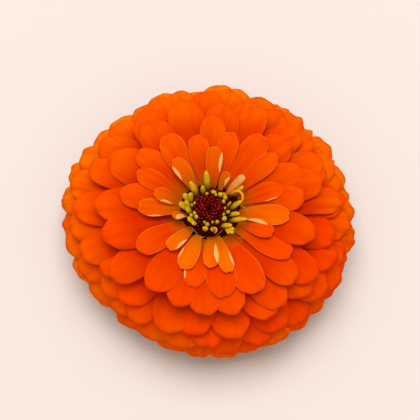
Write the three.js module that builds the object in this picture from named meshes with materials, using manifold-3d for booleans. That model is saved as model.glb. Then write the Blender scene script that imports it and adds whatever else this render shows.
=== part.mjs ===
// Double zinnia head, cut with a stub of its stem and resting on its lowest ray petals.
// Millimetres, +Z up. The origin is under the middle of the head, on the surface it rests on.
import * as THREE from 'three';
import { mergeVertices } from 'three/addons/utils/BufferGeometryUtils.js';
import Module from 'manifold-3d';

// ---- driving dimensions ----

const SEED = 20261;
const GAP = 0.3; // between neighbouring pieces
const FINEST = 0.15; // slivers thinner than this are smoothed away
const GOLDEN_ANGLE = 137.50776; // degrees from one floret to the next along the spiral

// ray petals of the outer whorls: their tips lie on a flattened globe
const RAY_COUNT = 150;
const FIRST_AZIMUTH = 20;
const EQUATOR_RADIUS = 50.7;
const EQUATOR_HEIGHT = 15;
const GLOBE_RISE = 30.5; // half height above the equator
const GLOBE_DROP = 23; // half height below it
const TOP_LATITUDE = 35; // degrees, tips of the innermost of these petals
const LOW_LATITUDE = -38; // degrees, tips of the lowest ones
const LOWEST_TIP = 1.2; // tips that would hang lower are lifted clear of the surface
const RAY_WIDTH = 12;
const RAY_WIDTH_SWELL = 2.6; // how much wider the petals of the equator are
const TIP_DROOP = 60; // degrees that the tips of the lower petals hang down
const RAY_CAMBER = 0.13; // how far the margins lie under the mid-line, per mm of half width
const YOUNG_CAMBER = 0.05;
const BURIED_SHARE = 0.08; // of a petal's length, modelled inside the receptacle
const BLADE_THICKNESS = 1.2; // at the mid-line; the margins are sharp
const CLAW_SHARE = 0.42; // width of the claw at the root against the widest place
const END_SHARE = 0.625; // length of the rounded end against the width
const SHOULDER = 0.66; // of the rounded end, where its last ring lies
const HANDLE_SHARE = 0.38; // handles of the mid-line's curve against its span

// a head is never quite round: seen from above it is wider than deep
const DEPTH_SHARE = 0.935;
// and fuller or flatter in places: azimuth and half breadth in degrees, and share of the radius
const SWELLS = [
  [15, 14, -0.02], [90, 50, 0.025], [122, 12, -0.015], [167, 20, 0.035], [190, 10, -0.02],
  [232, 40, -0.06], [270, 50, 0.012], [335, 12, -0.02],
];
const DISC_OFFSET = [0.55, -0.15]; // middle of the disc from the middle of the outline

// three low petals lie on the surface and carry the head
const FOOT_COUNT = 3;
const FOOT_AZIMUTH = 30;
const FOOT_REACH = 41;
const FOOT_SINK = 0.55; // depth cut off flat where the petal is pressed on the surface
const FOOT_SLOPE = -12;

// receptacle: the solid core that every petal grows from, with a pit for the disc
const PIT_RADIUS = 8.6;
const PIT_FLOOR = 29.5;
const LIP_HEIGHT = 32.6;
const CORE_RADIUS = 44;
const CORE_RISE = 24;
const CORE_DROP = 19;
const CORE_TOP_LATITUDE = 48;
const CORE_LOW_LATITUDE = -34;
const CORE_STEPS = 5;
const CORE_UNDERSIDE = [[29, 5.5], [14.5, 12], [13.2, 18.5]]; // radius and height, from the rim inwards
const CORE_SEGMENTS = 30;

// disc: maroon chaff dome inside a collar of young florets
const CHAFF_RADIUS = 4.3;
const CHAFF_HEIGHT = 6;
const CHAFF_SCALES = 44;
const COLLAR_INNER = 4.8;
const COLLAR_HEIGHT = 2;
const BUD_SIDES = 5;

// involucre and stem stub under the head
const CUP_RADIUS = 12;
const CUP_BOTTOM = 6.5;
const BRACT_COUNT = 16;
const STEM_RADIUS = 2.6;
const STEM_LOW = 1.2;

// ray petals of the inner whorls: azimuth in degrees, reach and width in mm, and rank.
// Rank 0 lies on top of rank 1, and rank 1 on rank 2; rank -1 is not yet unrolled, and the
// tips of rank 3 lie on the globe.
const INNER_RAYS = [
  [17, 25, 6.6, 1], [39, 28.5, 6.8, 1], [55, 31, 8.9, 1], [64, 13.5, 3.1, -1],
  [74, 28, 7.1, 1], [84, 21.5, 5.5, 0], [87, 33, 8.9, 2], [100, 26, 6.8, 1],
  [120, 29.5, 8.9, 1], [123, 20.5, 5.5, 0], [139, 30.5, 8.6, 2], [153, 26.5, 7, 1],
  [165, 18.5, 4.9, 0], [180, 23, 6.4, 0], [196, 12.5, 3, -1], [213, 27.5, 8.6, 1],
  [228, 20, 5, 0], [249, 23.5, 6.3, 0], [259, 28.5, 7.2, 1], [272, 21.5, 5, 0],
  [279, 32, 9.9, 1], [285, 24, 4.8, 0], [296, 33.5, 10.6, 1], [327, 31, 8.9, 1],
  [336, 22.5, 5.8, 1], [352, 26, 7.6, 0], [8, 31, 10.5, 2], [25, 33, 10.5, 2],
  [170, 29.5, 9.5, 2], [238, 34.5, 11.4, 2], [15, 38.5, 12, 3], [27, 41.7, 11.5, 3],
  [45, 36, 11.5, 3], [46, 42.5, 12.5, 3], [66, 41.5, 11, 3], [83, 38, 12, 3],
  [103, 41, 13, 3], [124, 38, 12.5, 3], [150, 38, 13, 3], [178, 37.5, 12.5, 3],
  [198, 36, 13.5, 3], [218, 40, 12, 3], [253, 36, 10.5, 3], [268, 37.5, 11.5, 3],
  [282, 38, 10.5, 3], [304, 41.4, 11.5, 3], [317, 37.8, 10.5, 3], [325, 42, 11.5, 3],
  [345, 35.5, 11.5, 3], [5, 44.4, 10, 3],
];
// tip height and tip slope of each rank below 3
const RANKS = { '-1': [38, 20], 0: [38.6, 12], 1: [38.2, 2], 2: [37.4, 0] };
const GLOBE_LIFT = 0.8; // of the tips of rank 3
const GLOBE_SLOPE = [37, 1.2]; // their slope over the axis, and how much it falls for each mm
const NARROW_ROOT = [9.2, 31.5, 48]; // radius, height and slope at the root of ranks -1 and 0
const BROAD_ROOT = [9.8, 30.5, 42]; // and of the others

// young florets of the collar: azimuth of the root and of the tip in degrees,
// radius of the root and of the tip, tip height and width in mm
const YOUNG_FLORETS = [
  [25, 25, 5.2, 5, 37.2, 1.3], [34, 34, 6.1, 6.1, 37.6, 1.6], [40, 46, 7.4, 6.3, 37.7, 1.4],
  [50, 52, 5.9, 5.7, 37.4, 1.7], [66, 65, 5.2, 4.9, 37, 1.1], [77, 76, 5.8, 5.5, 37.3, 1.9],
  [100, 100, 5.2, 4.9, 37, 1.1], [172, 171, 5.9, 5.7, 37.2, 1.1], [162, 162, 5.3, 5, 37, 1],
  [203, 203, 5.5, 5.2, 37.3, 1.3], [218, 218, 5.6, 5.4, 37.3, 1.5], [206, 206, 6.8, 6.5, 37.4, 1.3],
  [253, 253, 5.6, 5.4, 37, 1], [263, 263, 6.2, 6, 37.2, 1.4], [281, 281, 5.3, 5.1, 36.4, 1],
  [296, 296, 5.8, 5.6, 37, 1.3], [320, 320, 6.4, 6.2, 37.4, 1.7], [332, 332, 5.4, 5.1, 36.7, 1.1],
  [358, 358, 5.2, 4.9, 36.6, 0.9], [3, 14, 5.3, 7.2, 37.4, 0.8], [346, 343, 5.6, 6.6, 37.8, 1.3],
  [112, 107, 5.3, 7.5, 38.6, 1.5], [96, 95, 6, 12.3, 40, 2], [133, 126, 5.7, 10.6, 39.4, 2],
  [158, 151, 6, 8.7, 38.8, 2.4], [166, 168, 6, 8.2, 38.7, 1.5], [188, 174, 6, 10.2, 38.9, 2.3],
  [196, 186, 6, 7.6, 38.6, 2], [226, 212, 6.6, 8.4, 38.2, 2.4], [230, 226, 6.6, 8.3, 38, 2],
  [258, 258, 7.2, 7.9, 38.6, 1.8], [277, 277, 7.2, 8.4, 38.6, 1.9], [300, 317, 7, 9.9, 38.1, 1.8],
  [311, 306, 7.6, 12.6, 38.4, 1.5], [304, 312, 7.6, 11.7, 38.2, 1.5], [324, 338.5, 7.4, 13, 39.2, 1.8],
  [340, 344, 6.6, 10.1, 38.7, 1.7], [357, 9, 6.4, 10.6, 38.9, 1.7], [42, 42, 7.4, 14.8, 40.4, 2.1],
  [34, 32, 7.6, 13, 38.8, 1.6],
];

// ---- shared helpers ----

const wasm = await Module();
wasm.setup();

const radians = THREE.MathUtils.degToRad;
let drawState = SEED;

/** Next seeded random number between 0 and 1. */
function draw() {
  drawState = (drawState * 16807) % 2147483647;
  return drawState / 2147483647;
}

/** Seeded random number between -amount and amount. */
function spread(amount) {
  return amount * (2 * draw() - 1);
}

/** Solid of a closed geometry. */
function solidOf(geometry) {
  const bare = geometry.clone();
  bare.deleteAttribute('normal');
  bare.deleteAttribute('uv');
  const merged = mergeVertices(bare, 1e-4);
  return new wasm.Manifold(new wasm.Mesh({
    numProp: 3,
    vertProperties: new Float32Array(merged.attributes.position.array),
    triVerts: new Uint32Array(merged.index.array),
  }));
}

/** Geometry of a solid. */
function geometryOf(solid) {
  const { vertProperties, triVerts } = solid.getMesh();
  const geometry = new THREE.BufferGeometry();
  geometry.setAttribute('position', new THREE.BufferAttribute(new Float32Array(vertProperties), 3));
  geometry.setIndex(new THREE.BufferAttribute(new Uint32Array(triVerts), 1));
  return geometry;
}

/** The largest body of a solid: scraps are dropped and sealed hollows are filled. */
function largestBody(solid) {
  return solid.decompose().sort((one, other) => other.volume() - one.volume())[0];
}

/** One body of several solids, less those cut from it. */
function fuse(solids, cutters = []) {
  let body = wasm.Manifold.union(solids);
  for (const cutter of cutters) body = body.subtract(cutter);
  return largestBody(body.simplify(FINEST));
}

/** Named mesh of a solid, centred on the middle of the head's outline. */
function meshOf(solid, name, color, roughness) {
  const geometry = geometryOf(solid);
  geometry.computeVertexNormals();
  const material = new THREE.MeshStandardMaterial({ color, roughness, metalness: 0 });
  const mesh = new THREE.Mesh(geometry, material);
  mesh.name = name;
  mesh.position.set(DISC_OFFSET[0], DISC_OFFSET[1], 0);
  return mesh;
}

/** Body of revolution round the head's axis from [radius, height] points. */
function turned(points, segments) {
  const profile = points.map(([radius, height]) => new THREE.Vector2(radius, height));
  return new THREE.LatheGeometry(profile, segments).rotateX(Math.PI / 2);
}

/** Point at an azimuth, a radius, a height and a distance across, on the oval head. */
function place(azimuth, radius, height, across = 0) {
  const a = radians(azimuth);
  return [
    radius * Math.cos(a) - across * Math.sin(a),
    (radius * Math.sin(a) + across * Math.cos(a)) * DEPTH_SHARE,
    height,
  ];
}

// ---- ray petals ----

/** How far the outline reaches at an azimuth, as a share of the round one. */
function swell(azimuth) {
  let total = 1;
  for (const [middle, breadth, amount] of SWELLS) {
    const around = (((azimuth - middle + 180) % 360) + 360) % 360;
    const away = Math.abs(around - 180);
    if (away < breadth) total += amount * Math.cos((Math.PI * away) / breadth / 2) ** 2;
  }
  return total;
}

/** Ray petals of the head, each with its root, tip, slopes, width, camber and tilt. */
function rayList() {
  const rays = [];
  for (const [azimuth, reach, width, rank] of INNER_RAYS) {
    const globe = EQUATOR_HEIGHT + GLOBE_RISE * Math.sqrt(1 - (reach / EQUATOR_RADIUS) ** 2);
    const onGlobe = [globe + GLOBE_LIFT, GLOBE_SLOPE[0] - GLOBE_SLOPE[1] * reach];
    const [height, slope] = RANKS[rank] ?? onGlobe;
    const [rootRadius, rootHeight, rootSlope] = rank < 1 ? NARROW_ROOT : BROAD_ROOT;
    rays.push({
      azimuth,
      width,
      tip: [reach, height + spread(0.4)],
      tipSlope: slope + spread(5),
      root: [rootRadius, rootHeight],
      rootSlope,
      camber: rank < 2 ? YOUNG_CAMBER : RAY_CAMBER,
      tilt: spread(6),
    });
  }
  for (let n = 0; n < RAY_COUNT; n += 1) {
    const share = (n + 0.5) / RAY_COUNT;
    const azimuth = FIRST_AZIMUTH + n * GOLDEN_ANGLE + spread(3);
    const latitude = radians(TOP_LATITUDE + (LOW_LATITUDE - TOP_LATITUDE) * share);
    const reach = EQUATOR_RADIUS * Math.cos(latitude) * swell(azimuth) + spread(0.5);
    const rise = latitude > 0 ? GLOBE_RISE : GLOBE_DROP;
    const height = EQUATOR_HEIGHT + rise * Math.sin(latitude) + spread(0.8);
    rays.push({
      azimuth,
      width: (RAY_WIDTH + RAY_WIDTH_SWELL * Math.sin(Math.PI * share)) * (1 + spread(0.08)),
      tip: [reach, Math.max(height, LOWEST_TIP)],
      tipSlope: -2 - TIP_DROOP * Math.sin(1.96 * share) ** 1.5 + spread(6),
      root: [9 + 3 * share, 30 - 10 * share],
      rootSlope: 32 - 50 * share,
      camber: RAY_CAMBER,
      tilt: spread(7),
    });
  }
  for (let foot = 0; foot < FOOT_COUNT; foot += 1) {
    rays.push({
      azimuth: FOOT_AZIMUTH + (foot * 360) / FOOT_COUNT,
      width: RAY_WIDTH,
      tip: [FOOT_REACH, -FOOT_SINK],
      tipSlope: FOOT_SLOPE,
      root: [13, 17],
      rootSlope: -30,
      camber: 0,
      tilt: 0,
    });
  }
  return rays;
}

/** Mid-line of a ray in the plane of radius and height. */
function midLine({ root, tip, rootSlope, tipSlope }) {
  const start = new THREE.Vector2(...root);
  const end = new THREE.Vector2(...tip);
  const pull = HANDLE_SHARE * start.distanceTo(end);
  const leave = new THREE.Vector2(pull, 0).rotateAround(new THREE.Vector2(), radians(rootSlope));
  const arrive = new THREE.Vector2(pull, 0).rotateAround(new THREE.Vector2(), radians(tipSlope));
  return new THREE.CubicBezierCurve(start, start.clone().add(leave), end.clone().sub(arrive), end);
}

/** Place along a ray where it is widest and its rounded end begins. */
function widestPlace({ root, tip, width }) {
  const length = Math.hypot(tip[0] - root[0], tip[1] - root[1]);
  return Math.max(0.5, 1 - (END_SHARE * width) / length);
}

/** Half width at a place along a ray: a narrow claw, a swelling blade and a rounded end. */
function halfWidth(ray, place01, widest) {
  const x = Math.min(place01 / widest, 1);
  const body = CLAW_SHARE + (1 - CLAW_SHARE) * (x * x * (3 - 2 * x)) ** 0.8;
  const end = Math.max(0, (place01 - widest) / (1 - widest));
  return (ray.width / 2) * (place01 < widest ? body : Math.sqrt(Math.max(0, 1 - end ** 2.3)));
}

/** Ring of four corners of a blade at a place along it: left, top, right, under. */
function bladeRing(ray, curve, place01, widest) {
  const middle = curve.getPoint(place01);
  const along = curve.getTangent(place01);
  const half = halfWidth(ray, place01, widest);
  const corner = (across, lift) => place(
    ray.azimuth,
    middle.x - along.y * lift,
    middle.y + along.x * lift,
    across,
  );
  const twist = Math.tan(radians(ray.tilt)) * half;
  return [
    corner(half, twist - ray.camber * half),
    corner(0, BLADE_THICKNESS / 2),
    corner(-half, -twist - ray.camber * half),
    corner(0, -BLADE_THICKNESS / 2),
  ];
}

/** Closed blade of a ray: rings at places along it, up to its shoulder, and a pointed tip. */
function blade(ray, places) {
  const curve = midLine(ray);
  const widest = widestPlace(ray);
  const stations = [...places, widest, widest + SHOULDER * (1 - widest)];
  const corners = stations.flatMap((station) => bladeRing(ray, curve, station, widest));
  const tip = curve.getPoint(1);
  corners.push(place(ray.azimuth, tip.x, tip.y));
  const faces = [0, 2, 1, 0, 3, 2];
  for (let ring = 0; ring < stations.length; ring += 1) {
    for (let side = 0; side < 4; side += 1) {
      const here = ring * 4 + side;
      const beside = ring * 4 + ((side + 1) % 4);
      if (ring < stations.length - 1) {
        // both faces are split from the mid-line outwards, alike
        const even = side % 2 === 0;
        faces.push(...(even ? [here, beside, beside + 4] : [here, beside, here + 4]));
        faces.push(...(even ? [here, beside + 4, here + 4] : [beside, beside + 4, here + 4]));
      } else {
        faces.push(here, beside, corners.length - 1);
      }
    }
  }
  const geometry = new THREE.BufferGeometry();
  geometry.setAttribute('position', new THREE.Float32BufferAttribute(corners.flat(), 3));
  geometry.setIndex(faces);
  return solidOf(geometry);
}

/** Half section of the receptacle: a flattened globe, pitted on top and hollow below. */
function coreOutline() {
  const outline = [[0, PIT_FLOOR], [PIT_RADIUS, PIT_FLOOR], [PIT_RADIUS + 0.9, LIP_HEIGHT]];
  for (let step = 0; step <= CORE_STEPS; step += 1) {
    const share = step / CORE_STEPS;
    const latitude = radians(CORE_TOP_LATITUDE * (1 - share) + CORE_LOW_LATITUDE * share);
    const rise = latitude > 0 ? CORE_RISE : CORE_DROP;
    outline.push([CORE_RADIUS * Math.cos(latitude), EQUATOR_HEIGHT + rise * Math.sin(latitude)]);
  }
  outline.push(...CORE_UNDERSIDE, [0, CORE_UNDERSIDE.at(-1)[1]]);
  return outline.reverse();
}

/** Whether a point of the half section lies inside the receptacle. */
function isInCore({ x, y }, outline) {
  let crossings = 0;
  outline.forEach(([r0, z0], n) => {
    const [r1, z1] = outline[(n + 1) % outline.length];
    const level = (y - z0) / (z1 - z0);
    if (z0 > y !== z1 > y && x < r0 + level * (r1 - r0)) crossings += 1;
  });
  return crossings % 2 === 1;
}

/** Place along a ray at which its modelled blade begins, sunk well into the receptacle. */
function buriedPlace(ray, outline) {
  const curve = midLine(ray);
  let last = 0;
  for (let place01 = 0; place01 < 0.9; place01 += 0.02) {
    if (isInCore(curve.getPoint(place01), outline)) last = place01;
  }
  return last - BURIED_SHARE;
}

/** All ray petals fused on the receptacle and cut flat at the surface they rest on. */
function rayPetals() {
  const outline = coreOutline();
  const receptacle = turned(outline, CORE_SEGMENTS).scale(1, DEPTH_SHARE, 1);
  const blades = rayList().map((ray, n) => (
    blade(ray, n < INNER_RAYS.length ? [0, 0.4] : [buriedPlace(ray, outline)])
  ));
  const slab = new THREE.BoxGeometry(200, 200, 20).translate(0, 0, -10);
  return fuse([solidOf(receptacle), ...blades], [solidOf(slab)]);
}

// ---- disc ----

/** Chaff dome: a low dome, dimpled in the middle, set with pointed scales in a spiral. */
function discChaff() {
  const base = PIT_FLOOR + GAP;
  const dome = (share) => base + CHAFF_HEIGHT * (1 - 0.3 * share ** 2.5) - 0.6;
  const outline = [[0, base], [CHAFF_RADIUS, base]];
  for (const share of [1, 0.8, 0.55, 0.25]) {
    outline.push([(CHAFF_RADIUS - 0.5) * share, dome(share)]);
  }
  outline.push([0, dome(0) - 0.8]);
  const solids = [solidOf(turned(outline, 16))];
  for (let n = 2; n < CHAFF_SCALES; n += 1) {
    const share = Math.sqrt(n / CHAFF_SCALES);
    const scale = new THREE.ConeGeometry(0.62, 2.2, 4).rotateX(Math.PI / 2);
    scale.rotateY(radians(10 + 25 * share));
    scale.translate((CHAFF_RADIUS - 0.95) * share, 0, dome(share) + 0.2);
    scale.rotateZ(radians(n * GOLDEN_ANGLE));
    solids.push(solidOf(scale));
  }
  return fuse(solids);
}

/** Club-shaped young floret from the collar to its tip. */
function youngFloret([rootAzimuth, tipAzimuth, rootRadius, tipRadius, tipHeight, width]) {
  const root = new THREE.Vector3(...place(rootAzimuth, rootRadius, PIT_FLOOR + GAP + 1));
  const tip = new THREE.Vector3(...place(tipAzimuth, tipRadius, tipHeight));
  const bend = new THREE.Vector3(...place(rootAzimuth, rootRadius, tipHeight - 1.8));
  const route = new THREE.QuadraticBezierCurve3(root, bend, tip);
  const stations = [[0, 0.35], [0.5, 0.5], [0.75, 1], [0.94, 0.85]];
  const corners = [];
  for (const [share, girth] of stations) {
    const middle = route.getPoint(share);
    const frame = new THREE.Quaternion().setFromUnitVectors(
      new THREE.Vector3(0, 0, 1),
      route.getTangent(share),
    );
    for (let side = 0; side < BUD_SIDES; side += 1) {
      const turn = (2 * Math.PI * side) / BUD_SIDES;
      const arm = new THREE.Vector3(Math.cos(turn), Math.sin(turn), 0);
      arm.multiplyScalar((girth * width) / 2).applyQuaternion(frame);
      corners.push(middle.clone().add(arm).toArray());
    }
  }
  corners.push(root.toArray(), tip.toArray());
  const last = (stations.length - 1) * BUD_SIDES;
  const faces = [];
  for (let side = 0; side < BUD_SIDES; side += 1) {
    const next = (side + 1) % BUD_SIDES;
    for (let ring = 0; ring < last; ring += BUD_SIDES) {
      faces.push(ring + side, ring + next, ring + next + BUD_SIDES);
      faces.push(ring + side, ring + next + BUD_SIDES, ring + side + BUD_SIDES);
    }
    faces.push(corners.length - 2, next, side, last + side, last + next, corners.length - 1);
  }
  const geometry = new THREE.BufferGeometry();
  geometry.setAttribute('position', new THREE.Float32BufferAttribute(corners.flat(), 3));
  geometry.setIndex(faces);
  return solidOf(geometry);
}

/** Young florets fused on the collar that they grow from. */
function youngFlorets() {
  const base = PIT_FLOOR + GAP;
  const outer = PIT_RADIUS - 2 * GAP;
  const collar = turned([
    [COLLAR_INNER, base],
    [outer, base],
    [outer, base + COLLAR_HEIGHT],
    [COLLAR_INNER, base + COLLAR_HEIGHT],
    [COLLAR_INNER, base],
  ], 24).scale(1, DEPTH_SHARE, 1);
  return fuse([solidOf(collar), ...YOUNG_FLORETS.map(youngFloret)]);
}

// ---- underside ----

/** Involucre: a green cup under the receptacle, scaled with overlapping blunt bracts. */
function involucre() {
  const top = CORE_UNDERSIDE.at(-1)[1] - GAP;
  const cup = turned([
    [0, CUP_BOTTOM],
    [CUP_RADIUS * 0.55, CUP_BOTTOM],
    [CUP_RADIUS * 0.85, CUP_BOTTOM + 3.5],
    [CUP_RADIUS * 0.95, top],
    [0, top],
  ], 24);
  const solids = [solidOf(cup)];
  for (let n = 0; n < BRACT_COUNT; n += 1) {
    const share = n / (BRACT_COUNT - 1);
    solids.push(blade({
      azimuth: n * GOLDEN_ANGLE,
      width: 7 + 1.5 * share,
      root: [4.5, CUP_BOTTOM + 1 + 1.5 * share],
      tip: [CUP_RADIUS * (0.88 + 0.12 * share), CUP_BOTTOM + 4.2 + 6 * share],
      rootSlope: 4,
      tipSlope: 78,
      camber: 0.1,
      tilt: 0,
    }, [0.3, 0.6]));
  }
  return fuse(solids);
}

/** Cut stub of the stem. */
function stem() {
  const outline = [
    [0, STEM_LOW],
    [STEM_RADIUS, STEM_LOW],
    [STEM_RADIUS * 1.1, CUP_BOTTOM - GAP],
    [0, CUP_BOTTOM - GAP],
  ];
  return solidOf(turned(outline, 20));
}

// ---- the flower ----

const flower = new THREE.Group();
flower.add(
  meshOf(rayPetals(), 'ray_petals', '#ff5400', 0.6),
  meshOf(discChaff(), 'disc_chaff', '#5a0410', 0.7),
  meshOf(youngFlorets(), 'young_florets', '#c4bb1a', 0.55),
  meshOf(involucre(), 'involucre', '#5d7d35', 0.7),
  meshOf(stem(), 'stem', '#7a9646', 0.65),
);

export default flower;
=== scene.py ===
import math

import bpy
import numpy as np
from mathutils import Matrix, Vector


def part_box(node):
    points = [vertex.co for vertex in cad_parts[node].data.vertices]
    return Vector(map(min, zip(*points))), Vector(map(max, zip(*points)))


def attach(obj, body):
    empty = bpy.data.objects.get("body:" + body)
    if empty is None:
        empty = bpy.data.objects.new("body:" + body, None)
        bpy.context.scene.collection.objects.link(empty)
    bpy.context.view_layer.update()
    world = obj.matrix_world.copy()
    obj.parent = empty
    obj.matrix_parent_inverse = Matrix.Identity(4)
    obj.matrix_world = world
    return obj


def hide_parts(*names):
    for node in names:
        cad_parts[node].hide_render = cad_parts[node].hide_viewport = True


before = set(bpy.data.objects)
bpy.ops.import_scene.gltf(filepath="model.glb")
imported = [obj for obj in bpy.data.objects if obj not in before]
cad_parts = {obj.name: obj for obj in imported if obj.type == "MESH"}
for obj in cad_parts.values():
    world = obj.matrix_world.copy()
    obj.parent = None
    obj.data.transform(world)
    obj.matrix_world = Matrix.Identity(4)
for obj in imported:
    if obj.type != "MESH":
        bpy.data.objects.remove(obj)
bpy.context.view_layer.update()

# ---------------------------------------------------------------------------
# Stem stub
# A green herbaceous stem, round and finely ridged, cut off square just under the
# head. It widens where it runs into the cup of bracts.

MM = 0.001
stem_low, stem_high = (np.array(corner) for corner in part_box("stem"))
head_axis = (stem_low + stem_high) / 2 / MM
head_axis[2] = 0


def linear(hex_colour):
    """Linear RGBA of an sRGB hex colour."""
    values = [int(hex_colour[k:k + 2], 16) / 255 for k in (0, 2, 4)]
    return (*(v / 12.92 if v <= 0.04045 else ((v + 0.055) / 1.055) ** 2.4 for v in values), 1.0)


def new_material(name):
    """Material with nothing in its tree but the output."""
    material = bpy.data.materials.new(name)
    material.use_nodes = True
    for node in list(material.node_tree.nodes):
        if node.bl_idname != "ShaderNodeOutputMaterial":
            material.node_tree.nodes.remove(node)
    return material


def add_node(material, kind, inputs=None, stops=(), **settings):
    """Adds a node with its settings; each input is a value or the socket it is linked to.

    The inputs of a colour Mix are 0 (share), 6 and 7 (colours) and its output is 2. Those of
    a Map Range are 0 (value), 1 and 2 (old ends), 3 and 4 (new ends). The stops of a colour
    ramp are pairs of position and sRGB hex colour.
    """
    node = material.node_tree.nodes.new(kind)
    for key, value in settings.items():
        setattr(node, key, value)
    for key, value in (inputs or {}).items():
        if isinstance(value, bpy.types.NodeSocket):
            material.node_tree.links.new(value, node.inputs[key])
        else:
            node.inputs[key].default_value = value
    while stops and len(node.color_ramp.elements) < len(stops):
        node.color_ramp.elements.new(0.5)
    for n, (position, hex_colour) in enumerate(stops):
        node.color_ramp.elements[n].position = position
        node.color_ramp.elements[n].color = linear(hex_colour)
    return node


def read_marks(material, name="marks"):
    """The three numbers that a piece carries at each corner, as sockets."""
    marks = add_node(material, "ShaderNodeAttribute", attribute_name=name)
    return add_node(material, "ShaderNodeSeparateXYZ", {0: marks.outputs["Vector"]}).outputs


def add_mottle(material, colour, spot, size, most):
    """Soft spots of another colour, about `size` mm across, and their relief, as sockets."""
    place = add_node(material, "ShaderNodeTexCoord")
    noise = add_node(material, "ShaderNodeTexNoise", {
        "Vector": place.outputs["Object"], "Scale": 1 / (size * MM), "Detail": 2.0,
    })
    share = add_node(material, "ShaderNodeMapRange", {
        0: noise.outputs[0], 1: 0.45, 2: 0.65, 3: 0.0, 4: most,
    })
    mixed = add_node(material, "ShaderNodeMix", {
        0: share.outputs[0], 6: colour, 7: linear(spot),
    }, data_type="RGBA")
    relief = add_node(material, "ShaderNodeBump", {
        "Strength": 0.3, "Distance": 0.1 * MM, "Height": noise.outputs[0],
    })
    return mixed.outputs[2], relief.outputs[0]


def finish_material(material, inputs):
    """Gives the material its surface, with the named inputs."""
    shader = add_node(material, "ShaderNodeBsdfPrincipled", inputs)
    output = material.node_tree.nodes["Material Output"]
    material.node_tree.links.new(shader.outputs[0], output.inputs["Surface"])


def make_piece(name, corners, faces, material, node, attributes=None, smooth=True):
    """Mesh of corners in mm from the head's axis, standing for a solid; smooth where told."""
    mesh = bpy.data.meshes.new(name)
    mesh.from_pydata(((corners + head_axis) * MM).tolist(), [], [list(face) for face in faces])
    for key, values in (attributes or {}).items():
        layer = mesh.attributes.new(key, "FLOAT_VECTOR", "POINT")
        layer.data.foreach_set("vector", np.ascontiguousarray(values, np.float32).ravel())
    mesh.polygons.foreach_set("use_smooth", np.full(len(mesh.polygons), True) & smooth)
    mesh.materials.append(material)
    mesh.update()
    piece = bpy.data.objects.new(name, mesh)
    bpy.context.scene.collection.objects.link(piece)
    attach(piece, "root")
    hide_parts(node)
    return piece


def tubes(paths, half_width, half_depth, sides, across, notch=0.0, lobes=(0, 0.0)):
    """Closed tubes along paths shaped (tube, step, 3), rounded off by a point at each end.

    A ring at each step: middle + half_width cos(a) x side + half_depth sin(a) x face, where
    side is the part of `across` square to the path. (number, depth) of lobes flutes the
    ring by 1 + depth cos(number a), and notch (mm) draws the middle of the far end back.
    Returns corners, faces and the share of the way along at each corner.
    """
    count, steps, _ = paths.shape
    ahead = np.gradient(paths, axis=1)
    ahead /= np.linalg.norm(ahead, axis=-1, keepdims=True)
    side = across[:, None, :] - (across[:, None, :] * ahead).sum(-1, keepdims=True) * ahead
    side /= np.linalg.norm(side, axis=-1, keepdims=True)
    face = np.cross(ahead, side)
    turn = 2 * math.pi * np.arange(sides) / sides
    flute = 1 + lobes[1] * np.cos(lobes[0] * turn)
    share = np.linspace(0, 1, steps)[None, :, None]
    back = np.asarray(notch)[..., None, None] * (1 - np.abs(np.cos(turn)) ** 1.5) * share ** 6
    rings = (
        paths[:, :, None, :]
        + (half_width[..., None] * np.cos(turn) * flute)[..., None] * side[:, :, None, :]
        + (half_depth[..., None] * np.sin(turn) * flute)[..., None] * face[:, :, None, :]
        - back[..., None] * ahead[:, :, None, :]
    )
    ends = paths[:, [0, -1]].copy()
    ends[:, 1] -= np.asarray(notch).reshape(-1, 1) * ahead[:, -1]
    corners = np.concatenate([rings.reshape(count, -1, 3), ends], 1)
    ring = np.arange(sides)
    after = (ring + 1) % sides
    row = sides * np.arange(steps - 1)[:, None]
    quads = np.stack([row + ring, row + after, row + after + sides, row + ring + sides], -1)
    last = sides * (steps - 1)
    start, end = np.full(sides, steps * sides), np.full(sides, steps * sides + 1)
    caps = np.concatenate([
        np.stack([after, ring, start], -1), np.stack([last + ring, last + after, end], -1),
    ])
    offset = corners.shape[1] * np.arange(count)[:, None, None]
    faces = (quads.reshape(1, -1, 4) + offset).reshape(-1, 4).tolist()
    faces += (caps[None] + offset).reshape(-1, 3).tolist()
    along = np.repeat(np.linspace(0, 1, steps), sides)
    along = np.tile(np.concatenate([along, [0, 1]]), count)
    return corners.reshape(-1, 3), faces, along


def turned(heights, girths, sides, flattening=1.0, lobes=(0, 0.0)):
    """Closed upright tube of a girth at each height; equal heights stay 0.1 micron apart."""
    path = np.zeros((1, len(heights), 3))
    path[0, :, 2] = np.array(heights) + 1e-4 * np.arange(len(heights))
    girths = np.array([girths])
    east = np.array([[1.0, 0, 0]])
    return tubes(path, girths, girths * flattening, sides, east, lobes=lobes)


def corner_marks(along, values=(0.0,)):
    """Marks of the corners: the share along, the value of their tube or sheet, and 0."""
    each = len(along) // len(values)
    return {"marks": np.stack([along, np.repeat(values, each), np.zeros_like(along)], -1)}


# stem_rind: living plant skin, matt fresh green with paler flecks, and pale where it is cut
stem_rind = new_material("stem_rind")
stem_green = add_node(stem_rind, "ShaderNodeValToRGB", {0: read_marks(stem_rind)[0]}, stops=(
    (0.0, "B9C48A"), (0.16, "A9B878"), (0.2, "5F8A35"), (1.0, "55802F"),
)).outputs[0]
stem_colour, stem_relief = add_mottle(stem_rind, stem_green, "7E9A4C", 0.8, 0.6)
finish_material(stem_rind, {
    "Base Color": stem_colour, "Roughness": 0.6, "Normal": stem_relief,
})

# heights over the floor and the stem's radius at each, from the cut end up
STEM_HEIGHTS = (1.2, 1.2, 1.2, 1.24, 1.45, 2.2, 3.2, 4.2, 5.2, 6.0, 6.2, 6.2)
STEM_RADII = (0.02, 1.5, 2.4, 2.56, 2.6, 2.6, 2.62, 2.66, 2.74, 2.84, 2.84, 0.02)
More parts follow.
